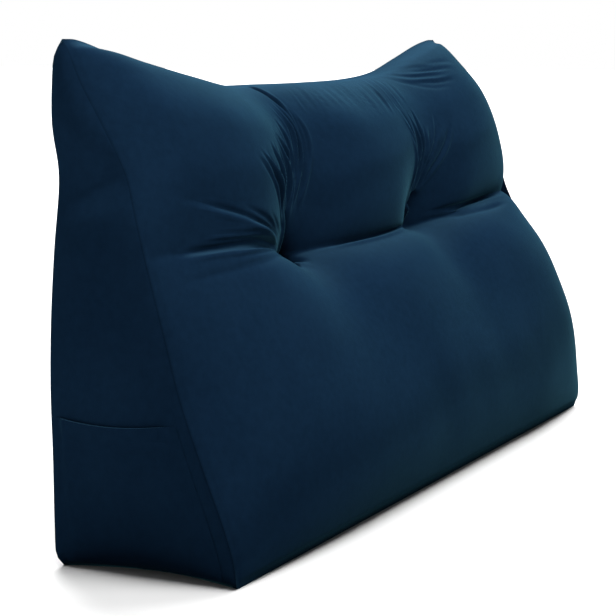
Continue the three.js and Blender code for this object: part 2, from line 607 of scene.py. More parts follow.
    def end(self, side: float, t: Array, v: Array) -> Array:
        """Points of a triangular end.

        Args:
            side: -1 for the left end, 1 for the right.
            t: shares of the way from its front seam to its back edge.
            v: shares of the height.

        Returns:
            The points.
        """
        t, v = np.broadcast_arrays(np.asarray(t, float), np.asarray(v, float))
        a = self.front(side + 0 * v, v)
        b = self.back(side + 0 * v, v)
        p = a + (b - a) * t[..., None]
        p[..., 0] += side * self.end_panel.out(t, v)
        return p


# How far a crease reaches, where the fold beside it lies and how wide that is,
# all in half widths of its trough.
CREASE_REACH = 6.0
FOLD_PLACE = 1.9
FOLD_WIDTH = 1.2

# How steep the sides of a trough are, 2 for a bell.
TROUGH_CURVE = 1.4


@dataclass(frozen=True)
class Crease:
    """A crease or fine wrinkle of the front.

    Args:
        path: places along it, as x and share of the height.
        width: half width of its trough.
        depth: depth of its trough.
        lip: height of the fold beside the trough.
        side: on which side of the path the fold lies, 1 for its left.
        soft: share of its length over which each end fades.
    """

    path: tuple[tuple[float, float], ...]
    width: float = 0.003
    depth: float = 0.003
    lip: float = 0.0015
    side: float = 1.0
    soft: float = 0.3

    def line(self, slant: float, steps: int = 8) -> Array:
        """The path as many short steps, on the front laid flat.

        Args:
            slant: length of the slope.
            steps: how many steps go from one place of the path to the next.

        Returns:
            The points, as place along the length and place up the slope.
        """
        p = np.array(self.path, float)
        p[:, 1] *= slant
        q = np.vstack([2 * p[0] - p[1], p, 2 * p[-1] - p[-2]])
        out = []
        for k in range(1, len(q) - 2):
            t = np.linspace(0, 1, steps, endpoint=False)[:, None]
            a, b, c, d = q[k - 1], q[k], q[k + 1], q[k + 2]
            out.append(
                0.5
                * (
                    2 * b
                    + (c - a) * t
                    + (2 * a - 5 * b + 4 * c - d) * t**2
                    + (3 * b - a - 3 * c + d) * t**3
                )
            )
        out.append(p[-1:])
        return np.vstack(out)

    def relief(self, x: Array, q: Array, slant: float) -> Array:
        """Height that the crease gives to places of the front.

        Args:
            x: places along the length.
            q: places up the slope.
            slant: length of the slope.

        Returns:
            The change of height, outward.
        """
        line = self.line(slant)
        steps = np.hypot(*np.diff(line, axis=0).T)
        reach = CREASE_REACH * self.width
        out = np.zeros_like(x)
        near = (
            (x > line[:, 0].min() - reach)
            & (x < line[:, 0].max() + reach)
            & (q > line[:, 1].min() - reach)
            & (q < line[:, 1].max() + reach)
        )
        if not near.any():
            return out
        p = np.stack([x[near], q[near]], -1)
        best = np.full(len(p), np.inf)
        sign = np.ones(len(p))
        along = np.zeros(len(p))
        total = steps.sum()
        start = 0.0
        for a, b, size in zip(line[:-1], line[1:], steps):
            way = (b - a) / size
            rel = p - a
            t = np.clip(rel @ way, 0, size)
            off = rel - t[:, None] * way
            dist = np.hypot(off[:, 0], off[:, 1])
            closer = dist < best
            best = np.where(closer, dist, best)
            cross = way[0] * off[:, 1] - way[1] * off[:, 0]
            sign = np.where(closer, np.sign(cross), sign)
            along = np.where(closer, (start + t) / total, along)
            start += size
        taper = ease(along / self.soft) * ease((1 - along) / self.soft)
        d = best * sign * self.side
        trough = np.exp(-np.abs(best / self.width) ** TROUGH_CURVE)
        fold = bell(d, FOLD_PLACE * self.width, FOLD_WIDTH * self.width)
        out[near] = (self.lip * fold - self.depth * trough) * taper
        return out


WEDGE = Wedge()


@dataclass(frozen=True)
class Fan:
    """A family of fine creases spread between guide paths.

    Args:
        guides: paths from side to side of the family, each from its far end inward.
        count: how many creases it has.
        width: half width of a crease.
        depth: depth of a crease.
        early: the largest share of its guide that a crease leaves out at the far end.
        seed: seed of the unevenness.
        late: the largest share that it leaves out at the near end.
        place: where a crease may lie within its own part of the family.
        widths: how its width may differ from the family's.
        depths: how its depth may differ from the family's.
        lip: height of the fold beside it, as a share of its depth.
        soft: share of its length over which each end fades.
    """

    guides: tuple[tuple[Pair, ...], ...]
    count: int
    width: float
    depth: float
    early: float
    seed: int
    late: float = 0.12
    place: Pair = (0.15, 0.85)
    widths: Pair = (0.8, 1.35)
    depths: Pair = (0.45, 1.3)
    lip: float = 0.7
    soft: float = 0.45

    def creases(self) -> list[Crease]:
        """Lay the family's creases.

        Returns:
            The creases, from one side of the family to the other.
        """
        rng = np.random.default_rng(self.seed)
        share = np.linspace(0, 1, 9)
        rows = []
        for guide in self.guides:
            g = np.array(guide, float)
            at = np.linspace(0, 1, len(g))
            rows.append(np.stack([np.interp(share, at, g[:, 0]), np.interp(share, at, g[:, 1])], -1))
        table = np.stack(rows)
        out = []
        for k in range(self.count):
            place = (k + rng.uniform(*self.place)) / self.count * (len(table) - 1)
            i = min(int(place), len(table) - 2)
            path = table[i] + (table[i + 1] - table[i]) * (place - i)
            start = rng.uniform(0, self.early)
            stop = 1 - rng.uniform(0, self.late)
            cut = np.linspace(start, stop, 7)
            x = np.interp(cut, share, path[:, 0])
            v = np.interp(cut, share, path[:, 1])
            width = self.width * rng.uniform(*self.widths)
            depth = self.depth * rng.uniform(*self.depths)
            side = float(rng.choice([-1.0, 1.0]))
            line = tuple((float(a), float(b)) for a, b in zip(x, v))
            out.append(Crease(line, width, depth, self.lip * depth, side, self.soft))
        return out


CREASES: tuple[Crease, ...] = (
    Crease(
        path=((-0.180, 0.596), (-0.177, 0.575), (-0.171, 0.556)),
        width=0.0065, depth=0.0140, lip=0.0, side=-1.0, soft=0.35,
    ),
    Crease(
        path=((-0.186, 0.700), (-0.183, 0.660), (-0.176, 0.622), (-0.165, 0.590), (-0.148, 0.558)),
        width=0.0050, depth=0.0165, lip=0.004, side=-1.0, soft=0.35,
    ),
    Crease(
        path=((0.173, 0.678), (0.171, 0.660), (0.168, 0.640), (0.165, 0.618)),
        width=0.0060, depth=0.0200, lip=0.002, side=-1.0, soft=0.45,
    ),
    Crease(
        path=((0.155, 0.655), (0.157, 0.640), (0.165, 0.618)),
        width=0.0024, depth=0.0050, lip=0.0070, side=-1.0, soft=0.3,
    ),
    Crease(
        path=((-0.134, 0.990), (-0.122, 0.965), (-0.116, 0.930), (-0.112, 0.890)),
        width=0.0026, depth=0.0040, lip=0.001,
    ),
    Crease(
        path=((-0.108, 0.920), (-0.107, 0.860), (-0.118, 0.800), (-0.143, 0.730), (-0.164, 0.660)),
        width=0.0024, depth=0.0026,
    ),
    Crease(
        path=((-0.128, 0.910), (-0.138, 0.850), (-0.153, 0.780), (-0.175, 0.700), (-0.178, 0.650)),
        width=0.0024, depth=0.0028,
    ),
    Crease(
        path=((-0.190, 0.850), (-0.172, 0.810), (-0.168, 0.760), (-0.181, 0.700), (-0.180, 0.650)),
        width=0.0024, depth=0.0030,
    ),
    Crease(
        path=((-0.232, 0.820), (-0.216, 0.770), (-0.205, 0.730), (-0.194, 0.680), (-0.184, 0.640)),
        width=0.0030, depth=0.0034,
    ),
    Crease(
        path=((-0.285, 0.780), (-0.256, 0.740), (-0.234, 0.700), (-0.210, 0.660), (-0.189, 0.635)),
        width=0.0032, depth=0.0034,
    ),
    Crease(
        path=((-0.430, 0.694), (-0.370, 0.672), (-0.310, 0.650), (-0.251, 0.631), (-0.194, 0.619)),
        width=0.0040, depth=0.0042, lip=0.0026, side=-1.0,
    ),
    Crease(
        path=((-0.460, 0.592), (-0.395, 0.598), (-0.325, 0.602), (-0.250, 0.605), (-0.194, 0.610)),
        width=0.0038, depth=0.0046, lip=0.0028, side=-1.0, soft=0.22,
    ),
    Crease(
        path=((-0.470, 0.535), (-0.410, 0.545), (-0.340, 0.556), (-0.260, 0.570)),
        width=0.0060, depth=0.0014, lip=0.0008,
    ),
    Crease(
        path=((-0.138, 0.585), (-0.100, 0.583), (-0.030, 0.581), (0.060, 0.586), (0.150, 0.600)),
        width=0.0022, depth=0.0044, lip=0.0024, side=-1.0,
    ),
    Crease(
        path=((0.187, 0.618), (0.250, 0.604), (0.330, 0.597), (0.420, 0.592), (0.470, 0.594)),
        width=0.0026, depth=0.0044, lip=0.0024, side=-1.0,
    ),
    Crease(
        path=((0.215, 0.590), (0.270, 0.576), (0.340, 0.565), (0.430, 0.560)),
        width=0.0036, depth=0.0020,
    ),
    Crease(
        path=((0.240, 0.830), (0.213, 0.780), (0.186, 0.720), (0.171, 0.650)),
        width=0.0030, depth=0.0030,
    ),
)

FANS: tuple[Fan, ...] = (
    Fan(
        guides=(
            ((-0.100, 0.990), (-0.104, 0.930), (-0.104, 0.870),
             (-0.116, 0.800), (-0.144, 0.720), (-0.169, 0.650)),
            ((-0.122, 0.965), (-0.116, 0.920), (-0.118, 0.860),
             (-0.132, 0.790), (-0.158, 0.720), (-0.174, 0.650)),
            ((-0.145, 0.930), (-0.140, 0.880), (-0.142, 0.830),
             (-0.154, 0.770), (-0.174, 0.710), (-0.179, 0.650)),
            ((-0.185, 0.870), (-0.176, 0.830), (-0.168, 0.790),
             (-0.171, 0.750), (-0.182, 0.700), (-0.182, 0.650)),
            ((-0.235, 0.830), (-0.222, 0.790), (-0.212, 0.755),
             (-0.205, 0.720), (-0.196, 0.685), (-0.186, 0.650)),
            ((-0.290, 0.790), (-0.268, 0.760), (-0.246, 0.730),
             (-0.231, 0.700), (-0.212, 0.670), (-0.190, 0.640)),
        ),
        count=26, width=0.0020, depth=0.0048, early=0.30, seed=3,
    ),
    Fan(
        guides=(
            ((-0.330, 0.720), (-0.300, 0.700), (-0.270, 0.680),
             (-0.242, 0.660), (-0.219, 0.645), (-0.192, 0.632)),
            ((-0.400, 0.662), (-0.360, 0.643), (-0.320, 0.633),
             (-0.270, 0.625), (-0.230, 0.620), (-0.194, 0.618)),
            ((-0.430, 0.605), (-0.380, 0.608), (-0.330, 0.610),
             (-0.280, 0.611), (-0.237, 0.612), (-0.196, 0.612)),
            ((-0.450, 0.560), (-0.400, 0.566), (-0.340, 0.574),
             (-0.290, 0.582), (-0.230, 0.592), (-0.180, 0.600)),
        ),
        count=9, width=0.0024, depth=0.0034, early=0.5, seed=5,
    ),
    Fan(
        guides=(
            ((0.120, 0.930), (0.128, 0.870), (0.140, 0.810),
             (0.147, 0.750), (0.151, 0.700), (0.159, 0.655)),
            ((0.160, 0.900), (0.160, 0.850), (0.162, 0.800),
             (0.162, 0.755), (0.159, 0.700), (0.163, 0.655)),
            ((0.205, 0.880), (0.196, 0.830), (0.189, 0.785),
             (0.178, 0.740), (0.169, 0.690), (0.167, 0.655)),
            ((0.290, 0.850), (0.262, 0.800), (0.235, 0.755),
             (0.206, 0.715), (0.183, 0.685), (0.171, 0.655)),
        ),
        count=13, width=0.0020, depth=0.0040, early=0.4, seed=8,
    ),
    Fan(
        guides=(
            ((-0.060, 0.990), (-0.075, 0.930), (-0.088, 0.870)),
            ((0.048, 0.985), (0.031, 0.926), (0.018, 0.870)),
            ((0.148, 0.990), (0.117, 0.900), (0.101, 0.842)),
            ((0.215, 0.990), (0.190, 0.920), (0.178, 0.870)),
        ),
        count=18, width=0.0023, depth=0.0014, early=0.3, seed=11,
    ),
    Fan(
        guides=(
            ((0.190, 0.980), (0.235, 0.925), (0.290, 0.890), (0.350, 0.875)),
            ((0.215, 0.990), (0.265, 0.950), (0.325, 0.922), (0.385, 0.905)),
            ((0.250, 0.995), (0.300, 0.972), (0.350, 0.950), (0.400, 0.932)),
        ),
        count=12, width=0.0021, depth=0.0015, early=0.4, seed=13,
    ),
)


class Panel(Enum):
    """The sewn panels of the cover."""

    FRONT = 0
    BACK = 1
    BASE = 2
    LEFT_END = 3
    RIGHT_END = 4


def stations(stops: tuple[tuple[float, float], ...], multiple: int = 4) -> Array:
    """Space out steps between 0 and 1 by a wanted spacing.

    Args:
        stops: rows of place and spacing, in the same unit, from the first place to the last.
        multiple: the number of steps is a multiple of this.

    Returns:
        The places, from the first stop to the last.
    """
    place = np.array([row[0] for row in stops])
    spacing = np.array([row[1] for row in stops])
    fine = np.linspace(place[0], place[-1], 4001)
    density = 1 / np.interp(fine, place, spacing)
    count = np.concatenate([[0], np.cumsum((density[1:] + density[:-1]) / 2 * np.diff(fine))])
    steps = max(multiple, int(round(count[-1] / multiple)) * multiple)
    return np.interp(np.linspace(0, count[-1], steps + 1), count, fine)


# Points this near to each other are one, and edges over this angle, in degrees, are sharp.
WELD = 2e-6
SEAM_ANGLE = 52.0


class Fabric:
    """Gathers the points and faces of one closed cover, panel by panel."""

    def __init__(self) -> None:
        """Start with nothing laid."""
        self.points: list[Array] = []
        self.marks: list[Array] = []
        self.faces: list[tuple[int, ...]] = []
        self.count = 0

    def lay(self, points: Array, panel: Panel, s: Array, v: Array) -> Array:
        """Add a grid or row of points.

        Args:
            points: their places.
            panel: the panel that they belong to.
            s: their first share on the panel.
            v: their second share.

        Returns:
            Their numbers, in the same arrangement.
        """
        shape = points.shape[:-1]
        flat = points.reshape(-1, 3)
        s, v = np.broadcast_arrays(s, v)
        self.points.append(flat)
        self.marks.append(
            np.stack([np.full(len(flat), panel.value, float), s.reshape(-1), v.reshape(-1)], -1)
        )
        ids = np.arange(self.count, self.count + len(flat)).reshape(shape)
        self.count += len(flat)
        return ids

    def weave(self, ids: Array, flip: bool = False) -> None:
        """Span quads over a grid of points.

        Args:
            ids: the points' numbers, as a grid.
            flip: turn the faces to the other side.
        """
        a = ids[:-1, :-1].ravel()
        b = ids[1:, :-1].ravel()
        c = ids[1:, 1:].ravel()
        d = ids[:-1, 1:].ravel()
        quads = np.stack([d, c, b, a] if flip else [a, b, c, d], -1)
        self.faces.extend(map(tuple, quads.tolist()))

    def graft(self, fine: Array, coarse: Array, flip: bool = False) -> None:
        """Span the strip between a row of points and one with half its steps.

        Args:
            fine: numbers of the row with the shorter steps.
            coarse: numbers of the other row.
            flip: turn the faces to the other side.
        """
        for k in range(len(coarse) - 1):
            ring = (fine[2 * k], coarse[k], coarse[k + 1], fine[2 * k + 2], fine[2 * k + 1])
            self.faces.append(tuple(int(i) for i in (ring[::-1] if flip else ring)))

    def sewn(self, name: str) -> bpy.types.Object:
        """Weld the panels along their seams into one mesh.

        Args:
            name: the object's name.

        Returns:
            The new object, with each point's panel and shares as attributes.
        """
        points = np.vstack(self.points)
        marks = np.vstack(self.marks)
        keys = np.round(points / WELD).astype(np.int64)
        _, first, number = np.unique(keys, axis=0, return_index=True, return_inverse=True)
        number = number.ravel()
        faces = []
        for face in self.faces:
            ring: list[int] = []
            for i in face:
                n = int(number[i])
                if n not in ring:
                    ring.append(n)
            if len(ring) > 2:
                faces.append(ring)
        mesh = bpy.data.meshes.new(name)
        mesh.from_pydata(points[first].tolist(), [], faces)
        for label, column in (("panel", 0), ("share_s", 1), ("share_v", 2)):
            data = mesh.attributes.new(label, "FLOAT", "POINT")
            data.data.foreach_set("value", marks[first, column])
        mesh.validate()
        mesh.update()
        mesh.shade_smooth()
        mesh.set_sharp_from_angle(angle=math.radians(SEAM_ANGLE))
        obj = bpy.data.objects.new(name, mesh)
        bpy.context.scene.collection.objects.link(obj)
        return obj


@dataclass(frozen=True)
class Spacing:
    """How close the cover's points lie.

    Args:
        seam: beside a seam.
        crease: round the tufts and along the crease line.
        plain: on the plain parts.
        ridge: under the ridge.
        low: on the lower part of the front, as a share of that on the plain parts.
    """

    seam: float
    crease: float
    plain: float
    ridge: float
    low: float = 1.3

    def along(self) -> Array:
        """Places of the points along the length.

        Returns:
            The places as shares of the half length, from -1 to 1.
        """
        half_length = 0.492
        stops = (
            (-half_length, self.seam),
            (-0.470, self.seam),
            (-0.440, self.plain),
            (-0.340, self.plain),
            (-0.300, self.crease),
            (-0.090, self.crease),
            (-0.050, self.plain),
            (0.080, self.plain),
            (0.130, self.crease),
            (0.310, self.crease),
            (0.350, self.plain),
            (0.440, self.plain),
            (0.470, self.seam),
            (half_length, self.seam),
        )
        return stations(stops) / half_length

    def up(self, slant: float) -> Array:
        """Places of the points up the front.

        Args:
            slant: length of the slope.

        Returns:
            The places as shares of the height, from 0 to 1.
        """
        stops = (
            (0.000, self.seam),
            (0.020, self.seam),
            (0.060, self.plain * self.low),
            (0.260, self.plain * self.low),
            (0.290, self.crease),
            (0.370, self.crease),
            (0.420, self.ridge),
            (0.520, self.ridge),
            (0.530, self.seam),
            (slant, self.seam),
        )
        return stations(stops) / slant


# Shares of the way from a panel's front seam to its back edge where rows of points lie.
ACROSS = np.concatenate([[0, 0.012, 0.03, 0.055], np.linspace(0.09, 0.91, 19), [0.945, 0.97, 0.988, 1]])


def half(row: Array) -> Array:
    """Every second step of a row."""
    return row[::2]


def cover_mesh(name: str, spacing: Spacing, shape: Wedge = WEDGE) -> bpy.types.Object:
    """Build the closed cover from its five panels, the hidden ones with wider steps.

    Args:
        name: the object's name.
        spacing: how close its points lie.
        shape: the wedge's form.

    Returns:
        The cover as one closed mesh.
    """
    made = Fabric()

    def lay(panel: Panel, surface: Callable[[Array, Array], Array], s: Array, v: Array) -> Array:
        """Lay points of one panel.

        Args:
            panel: the panel.
            surface: the form of the panel.
            s: the points' first share on it.
            v: their second share.

        Returns:
            Their numbers.
        """
        s, v = np.broadcast_arrays(s, v)
        return made.lay(surface(s, v), panel, s, v)

    along, up = spacing.along(), spacing.up(shape.slant)
    mid_s, low_s = half(along), half(half(along))
    mid_v, low_v = half(up), half(half(up))
    ids = lay(Panel.FRONT, shape.front, along[:, None], up[None, :])
    made.weave(ids)

    first = lay(Panel.BACK, shape.back, mid_s, low_v[-2])
    made.graft(ids[:, -1], first, flip=True)
    second = lay(Panel.BACK, shape.back, low_s, low_v[-3])
    made.graft(first, second, flip=True)
    grid = lay(Panel.BACK, shape.back, low_s[:, None], low_v[None, :-2])
    made.weave(grid, flip=True)

    first = lay(Panel.BASE, shape.base, mid_s, ACROSS[1])
    made.graft(ids[:, 0], first)
    second = lay(Panel.BASE, shape.base, low_s, ACROSS[2])
    made.graft(first, second)
    grid = lay(Panel.BASE, shape.base, low_s[:, None], ACROSS[None, 2:])
    made.weave(grid, flip=True)

    for side, panel, edge in ((-1.0, Panel.LEFT_END, ids[0]), (1.0, Panel.RIGHT_END, ids[-1])):
        surface = partial(shape.end, side)
        left = side < 0
        first = lay(panel, surface, ACROSS[1], mid_v)
        made.graft(edge, first, flip=not left)
        second = lay(panel, surface, ACROSS[2], low_v)
        made.graft(first, second, flip=not left)
        grid = lay(panel, surface, ACROSS[2:, None], low_v[None, :])
        made.weave(grid, flip=left)
    return made.sewn(name)


def read_points(mesh: bpy.types.Mesh) -> Array:
    """Read all points of a mesh.

    Args:
        mesh: the mesh.

    Returns:
        Their places, a row to a point.
    """
    co = np.empty(len(mesh.vertices) * 3)
    mesh.vertices.foreach_get("co", co)
    return co.reshape(-1, 3)


def write_points(mesh: bpy.types.Mesh, points: Array) -> None:
    """Move all points of a mesh.

    Args:
        mesh: the mesh.
        points: their new places, a row to a point.
    """
    mesh.vertices.foreach_set("co", np.ascontiguousarray(points, float).ravel())
    mesh.update()


def read_mark(mesh: bpy.types.Mesh, label: str) -> Array:
    """Read one of the cover's point attributes.

    Args:
        mesh: the mesh.
        label: the attribute's name.

    Returns:
        Its values, one to a point.
    """
    out = np.empty(len(mesh.vertices))
    mesh.attributes[label].data.foreach_get("value", out)
    return out


def normals_of(mesh: bpy.types.Mesh) -> Array:
    """Read the smooth outward direction at each point.

    Args:
        mesh: the mesh.

    Returns:
        The directions, a row to a point.
    """
    out = np.empty(len(mesh.vertices) * 3)
    mesh.vertex_normals.foreach_get("vector", out)
    return out.reshape(-1, 3)


def between(table: Array, i: Array, j: Array) -> Array:
    """Read a grid smoothly between its rows and columns.

    Args:
        table: the grid's values, three to a point.
        i: places along its first axis, in steps.
        j: places along its second axis, in steps.

    Returns:
        The values there.
    """

    def parts(at: Array, count: int) -> tuple[Array, Array]:
        """Find which rows a place lies between, and how much each of four weighs.

        Args:
            at: the places, in steps.
            count: how many rows there are.

        Returns:
            The row under each place, and the four weights.
        """
        low = np.clip(np.floor(at).astype(int), 0, count - 2)
        t = at - low
        t2, t3 = t * t, t * t * t
        share = np.stack(
            [
                -0.5 * t + t2 - 0.5 * t3,
                1 - 2.5 * t2 + 1.5 * t3,
                0.5 * t + 2 * t2 - 1.5 * t3,
                0.5 * (t3 - t2),
            ],
            -1,
        )
        return low, share

    low_i, share_i = parts(i, table.shape[0])
    low_j, share_j = parts(j, table.shape[1])
    out = np.zeros((len(i), 3))
    for a in range(4):
        row = np.clip(low_i + a - 1, 0, table.shape[0] - 1)
        for b in range(4):
            column = np.clip(low_j + b - 1, 0, table.shape[1] - 1)
            out += (share_i[:, a] * share_j[:, b])[:, None] * table[row, column]
    return out


@dataclass(frozen=True)
class Filling:
    """How the filling pushes the front out between its seams and tufts.

    Args:
        spacing: how close the points of the simulated cover lie.
        pressure: pressure of the filling.
        mass: mass of one point of the cloth.
        stiffness: how hard the cloth is to stretch.
        shear: how hard it is to pull askew.
        bending: how hard it is to bend.
        quality: steps of the simulation in a frame.
        frames: how long it settles.
        cap: the furthest that the cloth may move.
        passes: how often its movement is smoothed.
        end_hold: distance from the end seams over which it is held.
        ridge_hold: share of the height over which it is held under the ridge.
        base_hold: height up to which it is held at the base.
        crease_hold: distance from the crease line over which it is held.
        tuft_hold: distance from a tuft over which it is held.
        tuft_full: how firmly it is held at a tuft, being held fully wherever this is over 1.
    """

    spacing: Spacing = Spacing(0.0070, 0.0075, 0.0080, 0.0080)
    pressure: float = 4.0
    mass: float = 0.3
    stiffness: float = 12.0
    shear: float = 5.0
    bending: float = 0.3
    quality: int = 5
    frames: int = 20
    cap: float = 0.007
    passes: int = 4
    end_hold: float = 0.020
    ridge_hold: float = 0.04
    base_hold: float = 0.006
    crease_hold: float = 0.016
    tuft_hold: float = 0.04
    tuft_full: float = 1.3

    def held(self, shape: Wedge, points: Array, panel: Array, s: Array, v: Array) -> Array:
        """How firmly each point is held.

        Args:
            shape: the wedge's form.
            points: the points.
            panel: the panel of each.
            s: its share along the front.
            v: its share up the front.

        Returns:
            The hold on each point, from 0 to 1.
        """
        out = 1 - np.clip(shape.from_end(s) / self.end_hold, 0, 1)
        out = np.maximum(out, 1 - np.clip((1 - v) / self.ridge_hold, 0, 1))
        out = np.maximum(out, points[:, 2] < self.base_hold)
        away = np.abs(v - shape.crease_share(points[:, 0])) * shape.slant
        out = np.maximum(out, np.exp(-away / self.crease_hold))
        for tuft in shape.tufts:
            away = np.hypot(points[:, 0] - tuft.x, (v - tuft.share) * shape.slant)
            out = np.maximum(out, np.clip(self.tuft_full - away / self.tuft_hold, 0, 1))
        return np.where(panel == Panel.FRONT.value, out, 1.0)

    def settle(self, shape: Wedge) -> tuple[Array, Array, Array]:
        """Blow the cover up as cloth and measure how its front moves.

        Args:
            shape: the wedge's form.

        Returns:
            The shares along and up of the simulated points, and their movement.
        """
        obj = cover_mesh("simulated_cover", self.spacing, shape)
        mesh = obj.data
        points = read_points(mesh)
        panel = read_mark(mesh, "panel")
        s, v = read_mark(mesh, "share_s"), read_mark(mesh, "share_v")
        held = self.held(shape, points, panel, s, v)
        group = obj.vertex_groups.new(name="held")
        for k in np.nonzero(held > 0.01)[0]:
            group.add([int(k)], float(held[k]), "REPLACE")
        modifier = obj.modifiers.new("filling", "CLOTH")
        cloth = modifier.settings
        cloth.quality = self.quality
        cloth.mass = self.mass
        cloth.tension_stiffness = self.stiffness
        cloth.compression_stiffness = self.stiffness
        cloth.shear_stiffness = self.shear
        cloth.bending_stiffness = self.bending
        cloth.use_pressure = True
        cloth.uniform_pressure_force = self.pressure
        cloth.effector_weights.gravity = 0.0
        cloth.vertex_group_mass = group.name
        modifier.point_cache.frame_start = 1
        modifier.point_cache.frame_end = self.frames
        scene = bpy.context.scene
        for number in range(1, self.frames + 1):
            scene.frame_set(number)
        seen = obj.evaluated_get(bpy.context.evaluated_depsgraph_get())
        copy = seen.to_mesh()
        move = read_points(copy) - points
        seen.to_mesh_clear()
        scene.frame_set(1)
        bpy.data.objects.remove(obj)
        far = np.linalg.norm(move, axis=1)
        move *= (np.minimum(far, self.cap) / np.maximum(far, 1e-9))[:, None]
        front = panel == Panel.FRONT.value
        along, i = np.unique(np.round(s[front], 6), return_inverse=True)
        up, j = np.unique(np.round(v[front], 6), return_inverse=True)
        table = np.zeros((len(along), len(up), 3))
        table[i.ravel(), j.ravel()] = move[front]
        for _ in range(self.passes):
            table[1:-1] = 0.25 * table[:-2] + 0.5 * table[1:-1] + 0.25 * table[2:]
            table[:, 1:-1] = 0.25 * table[:, :-2] + 0.5 * table[:, 1:-1] + 0.25 * table[:, 2:]
        log.info("filling: %d points, moved up to %.1f mm", len(points), 1000 * far.max())
        return along, up, table


@dataclass(frozen=True)
class Lumps:
    """The slight unevenness of a stuffed cover.

    Args:
        height: height of a lump.
        waves: how many waves make it up.
        shortest: length of the shortest wave.
        longest: length of the longest wave.
        seed: seed of the waves.
        half_length: distance from the middle to an end seam, as the waves see it.
        ends: share of the half length over which they fade at the end seams.
        base: share of the height over which they fade at the base.
        ridge: share of the height over which they fade at the ridge.
    """

    height: float = 0.0002
    waves: int = 14
    shortest: float = 0.06
    longest: float = 0.20
    seed: int = 21
    half_length: float = 0.48
    ends: float = 0.12
    base: float = 0.10
    ridge: float = 0.08

    def at(self, s: Array, v: Array, slant: float) -> Array:
        """Height of the unevenness.

        Args:
            s: shares of the half length.
            v: shares of the height.
            slant: length of the slope.

        Returns:
            The heights, outward.
        """
        x, q = s * self.half_length, v * slant
        rng = np.random.default_rng(self.seed)
        out = np.zeros(len(x))
        for _ in range(self.waves):
            wave = rng.uniform(self.shortest, self.longest)
            turn = rng.uniform(0, math.pi)
            phase = rng.uniform(0, math.tau)
            place = x * math.cos(turn) + q * math.sin(turn)
            out += np.sin(place * math.tau / wave + phase) * wave / self.longest
        sides = np.clip((1 - np.abs(s)) / self.ends, 0, 1)
        inside = sides * np.clip(v / self.base, 0, 1) * np.clip((1 - v) / self.ridge, 0, 1)
        return self.height * out * inside


@dataclass(frozen=True)
class Cushion:
    """The filled wedge in its sewn cover.

    Args:
        shape: the wedge's form.
        spacing: how close the cover's points lie.
        filling: how it is filled.
        lumps: how uneven it is.
        seam_shade: half width of the painted shade along the end seams.
    """

    shape: Wedge = WEDGE
    spacing: Spacing = Spacing(seam=0.0021, crease=0.0015, plain=0.0048, ridge=0.0022)
    filling: Filling = Filling()
    lumps: Lumps = Lumps()
    seam_shade: float = 0.0020

    def fill(self, obj: bpy.types.Object) -> None:
        """Push the front out by the filling, with the slight unevenness of a stuffed cover.

        Args:
            obj: the cover.
        """
        mesh = obj.data
        points = read_points(mesh)
        front = read_mark(mesh, "panel") == Panel.FRONT.value
        s, v = read_mark(mesh, "share_s")[front], read_mark(mesh, "share_v")[front]
        along, up, table = self.filling.settle(self.shape)
        i = np.interp(s, along, np.arange(len(along)))
        j = np.interp(v, up, np.arange(len(up)))
        points[front] += between(table, i, j)
        lift = self.lumps.at(s, v, self.shape.slant)
        points[front] += normals_of(mesh)[front] * lift[:, None]
        points[:, 2] = np.maximum(points[:, 2], 0.0)
        write_points(mesh, points)

    def crease(self, obj: bpy.types.Object) -> None:
        """Lay the creases of the front into the cover.

        Args:
            obj: the cover.
        """
        mesh = obj.data
        points = read_points(mesh)
        front = read_mark(mesh, "panel") == Panel.FRONT.value
        x = points[front, 0]
        q = read_mark(mesh, "share_v")[front] * self.shape.slant
        lift = np.zeros(len(x))
        laid = list(CREASES)
        for fan in FANS:
            laid += fan.creases()
        for crease in laid:
            lift += crease.relief(x, q, self.shape.slant)
        move = np.zeros(len(points))
        move[front] = lift
        write_points(mesh, points + normals_of(mesh) * move[:, None])

    def shade_seams(self, obj: bpy.types.Object) -> None:
        """Mark how deep each point lies in the painted shade along the end seams.

        Args:
            obj: the cover.
        """
        mesh = obj.data
        front = read_mark(mesh, "panel") == Panel.FRONT.value
        end = self.shape.from_end(read_mark(mesh, "share_s"))
        seam_shade = np.where(front, bell(end, 0.0, self.seam_shade), 0.0)
        data = mesh.attributes.new("seam_shade", "FLOAT", "POINT")
        data.data.foreach_set("value", seam_shade)

    def build(self) -> bpy.types.Object:
        """Make the cushion.

        Returns:
            The finished piece, riding on the part and replacing its solid.
        """
        obj = cover_mesh("cushion_cover", self.spacing, self.shape)
        self.fill(obj)
        self.crease(obj)
        self.shade_seams(obj)
        obj.data.materials.append(velvet(COVER))
        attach(obj, "root")
        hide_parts("cushion")
        faces = sum(len(p.vertices) - 2 for p in obj.data.polygons)
        log.info("%s: %d points, %d triangles", obj.name, len(obj.data.vertices), faces)
        return obj


@dataclass(frozen=True)
class Grain:
    """A noise in the cloth.

    Args:
        scale: how fine it is.
        detail: how many finer layers it has.
        roughness: how strong those are.
    """

    scale: float
    detail: float
    roughness: float = 0.5


